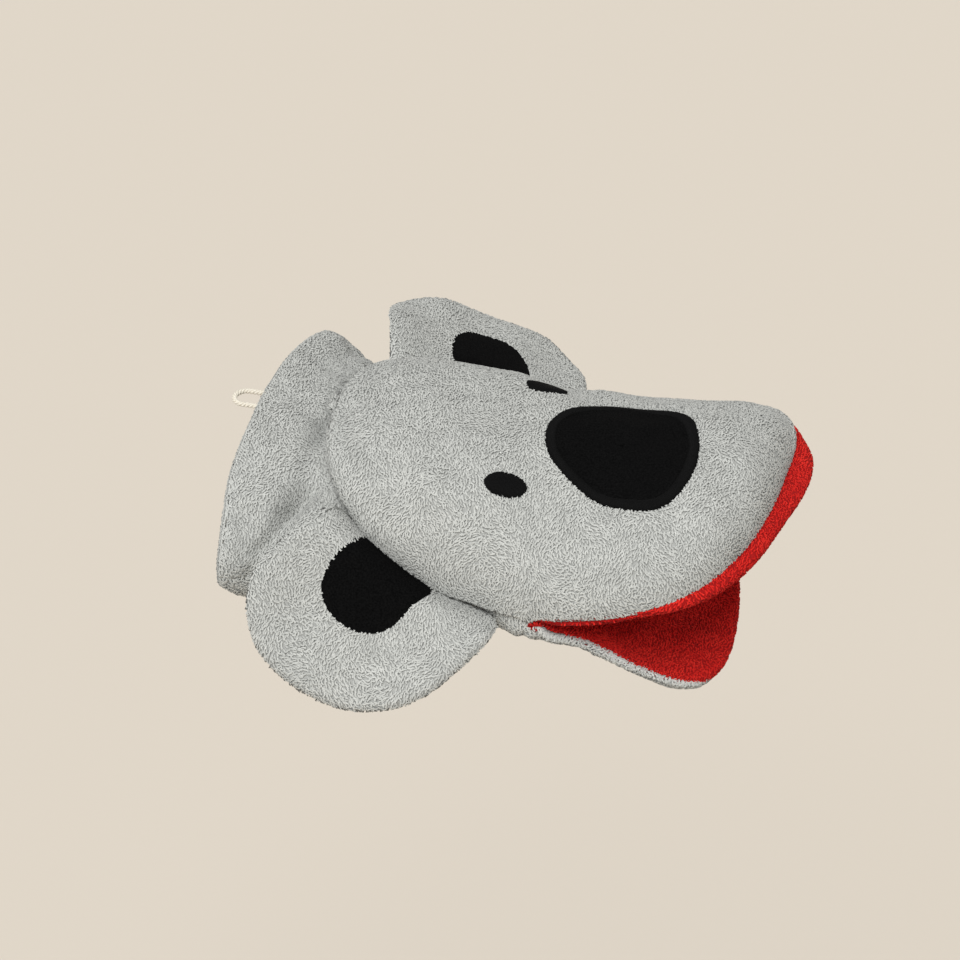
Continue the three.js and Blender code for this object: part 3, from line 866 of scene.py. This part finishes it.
def build_under():
    spans = [
        ("throat_cloth", THROAT_BACK, THROAT_FRONT, ["throat_panel"], 300, ("left", "right")),
        ("jaw_crease_cloth", THROAT_FRONT, JAW_BACK, ["jaw_crease"], 320, ("left", "right")),
        ("chin_cloth", JAW_BACK, JAW_TIP - 0.003, ["chin_panel"], 340, ("left", "right")),
    ]
    for name, back, front, stands_for, seed, edges in spans:
        u, v = crossed(60 if front - back > 20 else 16, 100)
        x = eased(back, front, u) if name == "chin_cloth" else mix(back, front, u)
        towelling(name, under_surface(x, v), -1, GREY_PILE, stands_for, seed, bend=JAW_BEND, edges=edges)
    u, v = crossed(16, 100)
    x = mix(SLEEVE_LENGTH - 3, THROAT_BACK + 3, u)
    share = smooth(u, 0.1, 0.9)[..., None]
    rim_angle = math.asin((seam_height(THROAT_BACK) + THROAT_TUCK) / THROAT_DEPTH)
    sleeve_part = sleeve_surface(x, mix(-np.pi - rim_angle, rim_angle, v), 1.0)
    grid = mix(sleeve_part, throat_surface(np.maximum(x, THROAT_BACK), v) * [1, 0.985, 0.97], share)
    grid[..., 0] = x
    grid[..., 2] += 1.6 * np.cos((x - 47) * 2 * np.pi / 6) * np.sin(np.pi * v) * np.sin(np.pi * u)
    towelling("wrist_crease_cloth", grid, -1, GREY_PILE, ["wrist_crease"], 360, bend=WRIST_BEND)


# --- Mouth ---

LID_CENTRE = np.array([158.0, 0.0])
LID_ROWS = 26
ROLL_ROWS = 12
SEAM_POINTS = 160


def seam_outline(back, front_limit, half_width):
    """A closed outline in plan, anticlockwise: back line, then round the front."""
    x = eased(back, front_limit, np.linspace(0, 1, 400))
    right = np.stack([x, -half_width(x, -1)], axis=1)
    left = np.stack([x, half_width(x, 1)], axis=1)[::-1]
    return evened(np.concatenate([right, left]), SEAM_POINTS)


def evened(line, count):
    """Points at even steps along a closed line."""
    closed = np.concatenate([line, line[:1]])
    run = np.concatenate([[0], np.cumsum(np.linalg.norm(np.diff(closed, axis=0), axis=1))])
    at = np.linspace(0, run[-1], count, endpoint=False)
    return np.stack([np.interp(at, run, closed[:, k]) for k in range(2)], axis=1)


def outline_outward(outline):
    tangent = np.roll(outline, -1, axis=0) - np.roll(outline, 1, axis=0)
    return unit(np.stack([tangent[:, 1], -tangent[:, 0]], axis=1))


def lipped_lid(outline, bottom, rim, stand):
    """A lid over an outline whose edge rolls out and round to the seam.

    bottom(x, y, share) is the lid's height, rim(x) the seam's and stand(outline) the roll's reach.
    """
    out = outline_outward(outline)
    grid = []
    for row in range(LID_ROWS):
        share = (row / (LID_ROWS - 1)) ** 0.8
        plan = LID_CENTRE + (outline - LID_CENTRE) * share
        grid.append(xyz(plan[:, 0], plan[:, 1], bottom(plan[:, 0], plan[:, 1], share)))
    edge_height = bottom(outline[:, 0], outline[:, 1], 1.0)
    seam = rim(outline[:, 0])
    for row in range(1, ROLL_ROWS + 1):
        angle = math.pi * row / ROLL_ROWS
        reach = stand(outline) * math.sin(angle)
        height = mix(edge_height, seam, (1 - math.cos(angle)) / 2)
        grid.append(xyz(outline[:, 0] + out[:, 0] * reach, outline[:, 1] + out[:, 1] * reach, height))
    return np.array(grid)


def build_palate():
    outline = seam_outline(JAW_AXIS[0] + 1, HEAD_FRONT - 0.003, head_half_width)

    def forward(x, y):
        """X, counted from further forward on the right, where the lip begins to show later."""
        return x - 10 * smooth(-y, 5, 50)

    def depth(x, y):
        return mix(mix(0.8, 2.5, smooth(x, 122, 132)), 7.0, smooth(forward(x, y), 153, 195))

    def bottom(x, y, share):
        folds = 0.5 * ripple(xyz(x, y, 0 * x), 24, 51) * (1 - share ** 4)
        return seam_height(x) - 0.4 - depth(x, y) + folds

    def stand(plan):
        x, y = plan[:, 0], plan[:, 1]
        fuller = 3.7 * np.exp(-((y - 18) / 20) ** 2) - 2.0 * smooth(y, 32, 48)
        return mix(-0.8, LIP_STAND + fuller, smooth(forward(x, y), 144, 193))

    grid = lipped_lid(outline, bottom, lambda x: seam_height(x) - 0.4, stand)
    grid = slanted(grid[..., 0], grid[..., 1], grid[..., 2])
    towelling("palate_cloth", grid, -1, RED_PILE, ["palate_lining"], 400, body="head", red=True, wrap=True,
              thickness=THIN_CLOTH)


def build_lower_lining():

    def half_width(x, side):
        wider = 3.5 * (1 - smooth(x, 118, 142)) - 1.2 * (1 - smooth(x, JAW_TIP - 9, JAW_TIP - 1))
        return jaw_half_width(x - 0.5) + wider

    outline = seam_outline(JAW_AXIS[0] + 1, JAW_TIP + 0.497, half_width)

    def top(x, y, share):
        dish = 3.0 * smooth(x, 128, 150) * (1 - share ** 3)
        folds = 0.6 * ripple(xyz(x, y, 0 * x), 22, 61) * (1 - share ** 4)
        return lip_height(x) + 3.0 - dish + folds

    grid = lipped_lid(
        outline, top,
        rim=lambda x: lip_height(x) + 0.2,
        stand=lambda plan: 1.5 * smooth(plan[:, 0], JAW_TIP - 14, JAW_TIP),
    )
    grid = jaw_slanted(grid)
    towelling("lower_lining_cloth", grid, 1, RED_PILE, ["lower_mouth_lining"], 430, body="lower_jaw",
              red=True, wrap=True, thickness=THIN_CLOTH)


FOLD_HALF_WIDTH = JAW_HALF_WIDTH + 2.2


def build_mouth_fold():
    u, v = crossed(14, 90)
    angle = mix(0.5 * np.pi, 1.5 * np.pi, u)
    y = mix(-FOLD_HALF_WIDTH, FOLD_HALF_WIDTH, v)
    pinch = np.sqrt(np.clip(1 - (y / FOLD_HALF_WIDTH) ** 8, 0.5, 1))
    grid = xyz(
        JAW_AXIS[0] + 3.5 + 5 * np.cos(angle),
        y,
        JAW_AXIS[2] + 0.3 + 2.6 * pinch * np.sin(angle),
    )
    bend = ("head", "lower_jaw", np.array([122.0, 0, -6.0]), np.array([122.0, 0, -10.5]))
    towelling("mouth_fold_cloth", grid, -1, RED_PILE, ["mouth_fold"], 460, bend=bend, red=True,
              thickness=THIN_CLOTH)


# --- Nose and eyes ---

THREAD_RADIUS = 0.36


def bars_object(name, starts, ends, bulge_direction, bulge, radius, material):
    """Satin stitches: a bar of thread from each start to its end, arched a little."""
    count = len(starts)
    rings, sides = 5, 4
    points = np.empty((count, rings, sides, 3))
    run = unit(ends - starts)
    across = unit(np.cross(run, bulge_direction))
    for k in range(rings):
        t = k / (rings - 1)
        centre = mix(starts, ends, t) + bulge_direction * bulge * math.sin(math.pi * t) ** 0.6
        for s in range(sides):
            angle = 2 * math.pi * s / sides
            round_bar = math.cos(angle) * across + math.sin(angle) * bulge_direction
            points[:, k, s] = centre + radius * round_bar
    caps = [[3, 2, 1, 0], [(rings - 1) * sides + s for s in range(4)]]
    template = np.array(tube_faces(rings, sides) + caps)
    faces = np.arange(count)[:, None, None] * rings * sides + template[None]
    return make_object(name, points.reshape(-1, 3), faces.reshape(-1, 4), [material])


def build_nose():
    rows, cols = 30, 120
    u, v = crossed(rows, cols + 1)
    u, v = u[:, :-1], v[:, :-1]
    edge = nose_outline(2 * np.pi * v)
    reach = (u ** 0.8 * (NOSE_BORDER + 0.03))[..., None]
    plan = NOSE_CENTRE + (edge - NOSE_CENTRE) * reach
    spot = xyz(plan[..., 0], plan[..., 1], 0 * u)
    lift = 1.5 + 0.5 * (1 - u ** 4) + 0.15 * ripple(spot, 12, 71)
    velour_patch("nose_cloth", on_face(plan, lift), 1, "nose_patch", "head")

    count = 380
    rng = np.random.default_rng(72)
    rim = evened(nose_outline(np.linspace(0, 2 * np.pi, count, endpoint=False)), count) - NOSE_CENTRE
    inside = NOSE_CENTRE + rim * (NOSE_BORDER - 0.01 + rng.uniform(-0.006, 0.006, (count, 1)))
    outside = NOSE_CENTRE + rim * (1 + rng.uniform(-0.006, 0.006, (count, 1)))
    middle = (inside + outside) / 2
    up = face_normal(middle[:, 0], middle[:, 1])
    border = bars_object("nose_satin_border", on_face(inside, 1.3), on_face(outside, 0.5), up, 0.9,
                         THREAD_RADIUS, BLACK_THREAD)
    finish_piece(border, "black_thread", "head", stands_for=["nose_border"])


def build_eyes():
    for name, (eye_x, eye_y, turn) in EYES.items():
        t = np.linspace(-0.97, 0.97, 34)
        half = EYE_HALF[1] * np.sqrt(1 - t * t)
        along = np.array([math.cos(turn), math.sin(turn)])
        across = np.array([-math.sin(turn), math.cos(turn)])
        middle = np.array([eye_x, eye_y]) + EYE_HALF[0] * t[:, None] * along
        starts = on_face(middle - half[:, None] * across, 0.5)
        ends = on_face(middle + half[:, None] * across, 0.5)
        up = face_normal(middle[:, 0], middle[:, 1])
        eye = bars_object(f"{name}_eye_stitches", starts, ends, up, 1.0, THREAD_RADIUS, BLACK_THREAD)
        finish_piece(eye, "black_velour", "head", stands_for=[f"{name}_eye"])


# --- Ears ---

PATCH_HALF = 16.6                              # half its length, and its reach outwards
PATCH_ROOT = 22.0                              # its reach inwards, to under the face's edge
PATCH_CORNER = 0.35                            # powers: its root end is square
PATCH_TOP = 0.92                               # and its outer end is round
ROOT_DEPTH = 5.0                               # of the ear's middle below the face's edge
ROOT_REACH = (-2, 15)                          # where the ear leaves its root for its own plane
EAR_PUFF = 3.2                                 # from its middle plane to each face
ROOT_SPAN = (HEAD_BACK + 7, 113)               # the face's edge that the roots run under, in X


class Ear:
    def __init__(self, side, tip, length, height, lean, middle, cup, patch, back_corner, seed):
        self.side = side
        self.sideways = 1 if side == "left" else -1
        self.length, self.height = length, height
        self.lean, self.middle, self.cup, self.patch = lean, middle, cup, np.array(patch)
        self.back_corner, self.seed = back_corner, seed
        hinge = joint(f"{side}_ear_flap")
        self.origin = np.array(hinge["pos_m"]) / MM
        self.along = np.array(hinge["axis"]) * self.sideways
        to_tip = np.array([tip[0], tip[1] * self.sideways, tip[2]]) - self.origin
        self.normal = unit(np.cross(self.along, to_tip)) * self.sideways
        self.outward = np.cross(self.normal, self.along) * self.sideways

    def root(self, x, y):
        """The ear's root, which runs under the face's edge."""
        along_x = self.origin[0] + self.along[0] * x
        edge_x = np.clip(along_x, *ROOT_SPAN)
        edge_y = head_half_width(edge_x) + 0.9 * y
        return xyz(along_x, self.sideways * edge_y, seam_height(edge_x) - ROOT_DEPTH + 0.15 * y)

    def place(self, x, y, height):
        cup = self.cup * ((x - self.middle) / (self.length / 2)) ** 2
        spot = xyz(x, y, 0 * x)
        base = np.array([self.middle, -14.0])
        angle = np.arctan2(y - base[1], x - base[0])
        creases = 0.5 * np.sin(angle * 11 + self.seed) * smooth(y, 8, 50)
        creases = creases + 0.5 * ripple(spot, 34, self.seed)
        normal = self.normal * (height + creases)[..., None]
        flat = self.origin + self.along * x[..., None] + self.outward * y[..., None]
        share = smooth(y, ROOT_REACH[0], ROOT_REACH[1])[..., None]
        return mix(self.root(x, y), flat + self.normal * cup[..., None], share) + normal

    def outline(self, angle):
        centre_y = self.height * 0.42
        below = np.sin(angle) < 0
        above = np.where(np.cos(angle) < 0, self.back_corner, 0.88)
        cosine, sine = rounded(angle, np.where(below, 0.45, above))
        x = self.middle + self.length / 2 * cosine
        y = centre_y + np.where(below, centre_y + 5, self.height - centre_y) * sine
        return np.stack([x + self.lean * y / self.height, y], axis=-1)

    def patch_outline(self, angle):
        below = np.sin(angle) < 0
        cosine, sine = rounded(angle, np.where(below, PATCH_CORNER, PATCH_TOP))
        height = np.where(below, PATCH_ROOT, PATCH_HALF)
        return self.patch + np.stack([PATCH_HALF * cosine, height * sine], axis=-1)


def clear_of(points, reach):
    """A mask that is True for places further than the reach from every one of the points."""
    tree = KDTree(len(points))
    for number, point in enumerate(points):
        tree.insert(point, number)
    tree.balance()
    return lambda places: np.array([tree.find(place)[2] > reach for place in places.tolist()])


def build_ear(ear):
    turn = np.linspace(0, 2 * np.pi, 3000)
    rows, cols = 16, 100
    u = crossed(rows, cols)[0]
    plan = ear.patch + (evened(ear.patch_outline(turn), cols) - ear.patch) * (u ** 0.8)[..., None]
    patch_grid = ear.place(plan[..., 0], plan[..., 1], EAR_PUFF + 0.4 + 0.9 * (1 - u ** 5))
    off_patch = clear_of(patch_grid[:-2].reshape(-1, 3), 1.7)

    def outside_head(places):
        return np.abs(places[:, 1]) > head_half_width(np.clip(places[:, 0], *ROOT_SPAN)) - 2.5

    centre = np.array([ear.middle, ear.height * 0.42])
    rows, cols = 34, 140
    u = crossed(rows, cols)[0]
    plan = centre + (evened(ear.outline(turn), cols) - centre) * (u ** 0.75)[..., None]
    puff = np.sqrt(np.clip(1 - u ** 6, 0, 1))
    hinge = ear.origin + ear.along * 35
    bend = ("head", f"{ear.side}_ear", hinge - ear.outward * 3, hinge + ear.outward * 9)
    masks = {"front": lambda places: outside_head(places) & off_patch(places), "back": outside_head}
    for layer, sign in (("front", 1), ("back", -1)):
        grid = ear.place(plan[..., 0], plan[..., 1], sign * EAR_PUFF * puff)
        towelling(f"{ear.side}_ear_{layer}_cloth", grid, sign * ear.sideways, GREY_PILE,
                  [f"{ear.side}_ear_{layer}"], ear.seed * 10 + (5 if sign > 0 else 7), bend=bend,
                  mask=masks[layer], wrap=True, thickness=EAR_CLOTH)
    velour_patch(f"{ear.side}_ear_patch_cloth", patch_grid, ear.sideways, f"{ear.side}_ear_patch", bend=bend)


# --- Hanging loop ---

LOOP_REACH = 10.4                              # past the cuff's rim
LOOP_SEWN = 2.4                                # inside it
LOOP_HALF_WIDTH = 4.4
LOOP_MIDDLE = 1.0                              # its Y
STRANDS = 3
STRAND_SIDES = 7
STRAND_PITCH = 4.5                             # length of cord in which a strand goes round once


def build_loop():
    height = RIM_HALF_HEIGHT - CLOTH / 3
    straight = np.linspace(LOOP_SEWN, LOOP_HALF_WIDTH - LOOP_REACH, 16)
    turn = np.linspace(-np.pi / 2, np.pi / 2, 31)[1:-1]
    dipping = height - 0.12 * np.maximum(straight + 1, 0) ** 2
    near = xyz(straight, LOOP_MIDDLE - LOOP_HALF_WIDTH, dipping)
    far = xyz(straight, LOOP_MIDDLE + LOOP_HALF_WIDTH, dipping)[::-1]
    bend = xyz(
        LOOP_HALF_WIDTH - LOOP_REACH - LOOP_HALF_WIDTH * np.cos(turn),
        LOOP_MIDDLE + LOOP_HALF_WIDTH * np.sin(turn),
        height,
    )
    path = np.concatenate([near, bend, far])
    tangent = unit(np.gradient(path, axis=0))
    upward = np.array([0.0, 0, 1])
    sideways = np.cross(tangent, upward)
    points, faces = [], []
    run = np.concatenate([[0], np.cumsum(np.linalg.norm(np.diff(path, axis=0), axis=1))])
    for strand in range(STRANDS):
        twist = 2 * np.pi * (run / STRAND_PITCH + strand / STRANDS)
        centre = path + 0.5 * (np.cos(twist)[:, None] * sideways + np.sin(twist)[:, None] * upward)
        first = len(points)
        for k in range(len(path)):
            for s in range(STRAND_SIDES):
                angle = 2 * math.pi * s / STRAND_SIDES
                points.append(centre[k] + 0.6 * (math.cos(angle) * sideways[k] + math.sin(angle) * upward))
        end = [first + s for s in range(STRAND_SIDES)]
        faces += [[first + number for number in face] for face in tube_faces(len(path), STRAND_SIDES)]
        faces += [end[::-1], [(len(path) - 1) * STRAND_SIDES + number for number in end]]
    piece = make_object("hanging_loop_cord", points, faces, [COTTON])
    finish_piece(piece, "cotton_cord", "hanging_loop", stands_for=["hanging_loop"])


# --- Camera, light and floor ---

def build_stage():
    azimuth, elevation = math.radians(13.5), math.radians(38)
    back = Vector((
        math.sin(azimuth) * math.cos(elevation),
        -math.cos(azimuth) * math.cos(elevation),
        math.sin(elevation),
    ))
    target = Vector((0.0844, 0.0082, 0.0))
    camera_data = bpy.data.cameras.new("camera")
    camera_data.lens = 100
    camera_data.sensor_width = 36
    camera = put("camera", camera_data)
    camera.location = target + back * 1.027
    camera.rotation_mode = "QUATERNION"
    camera.rotation_quaternion = (-back).to_track_quat("-Z", "Y")
    bpy.context.scene.camera = camera

    floor_mesh = bpy.data.meshes.new("floor")
    half, depth = 40.0, -0.9
    corners = [(x, y, depth) for x, y in ((-half, -half), (half, -half), (half, half), (-half, half))]
    floor_mesh.from_pydata(corners, [], [(0, 1, 2, 3)])
    material, _, shader = new_material("floor", roughness=1.0, specular=0.0)
    shader.inputs["Base Color"].default_value = (0.605, 0.552, 0.479, 1)
    floor_mesh.materials.append(material)
    put("floor", floor_mesh)

    world = bpy.data.worlds.new("studio")
    world.use_nodes = True
    background = world.node_tree.nodes["Background"]
    background.inputs["Color"].default_value = (1.0, 0.985, 0.96, 1)
    background.inputs["Strength"].default_value = 0.61
    bpy.context.scene.world = world
    for name, direction, strength, softness in (
        ("key", (0.05, 0.45, -1.0), 1.84, 40),
        ("front_fill", (0.3, 0.9, -0.6), 0.55, 60),
    ):
        data = bpy.data.lights.new(name, "SUN")
        data.energy = strength
        data.angle = math.radians(softness)
        light = put(name, data)
        light.rotation_mode = "QUATERNION"
        light.rotation_quaternion = Vector(direction).to_track_quat("-Z", "Y")
    bpy.context.scene.view_settings.view_transform = "Standard"


build_stage()
build_loop()
build_face()
build_sleeve()
build_under()
build_palate()
build_lower_lining()
build_mouth_fold()
build_nose()
build_eyes()
build_ear(Ear("left", (46, 98, 12), length=86, height=57, lean=0, middle=38, cup=2.5,
              patch=(38.2, 20), back_corner=0.88, seed=51))
build_ear(Ear("right", (56, 98, -26), length=79, height=61, lean=-13, middle=37, cup=6,
              patch=(28.0, 16.5), back_corner=1.04, seed=52))
build_tack()
